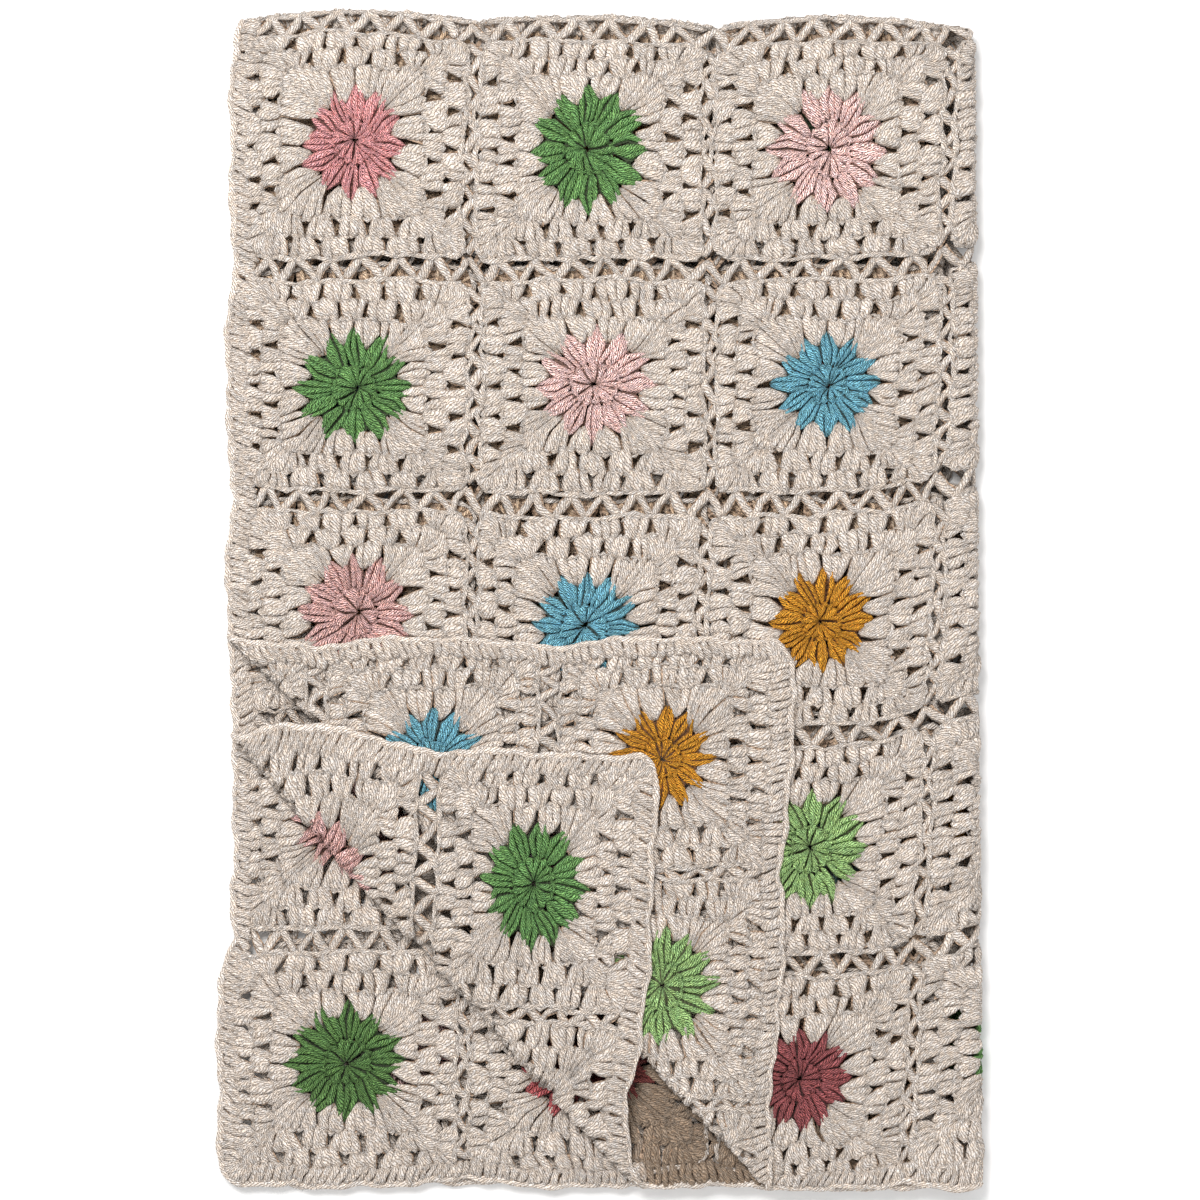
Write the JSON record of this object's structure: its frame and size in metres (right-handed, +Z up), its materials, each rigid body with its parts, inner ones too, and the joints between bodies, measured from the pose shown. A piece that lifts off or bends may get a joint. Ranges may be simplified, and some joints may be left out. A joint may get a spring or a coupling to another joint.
{
  "type": "crochet throw blanket",
  "caption": "Crochet throw of joined granny squares, folded in quarters and lying flat, with two corners turned back over each other.",
  "frame": {"origin": "centre of the folded throw's footprint, on the surface it lies on", "axes": "+Z up out of the surface, +Y along the longer side towards the folded end, +X towards the long folded side"},
  "size_m": [0.5235, 0.8065, 0.0392],
  "materials": {
    "cotton_yarn": "matt cream crochet with coloured flower centres"
  },
  "bodies": {
    "root": {"crochet_throw": "cotton_yarn"}
  },
  "joints": []
}
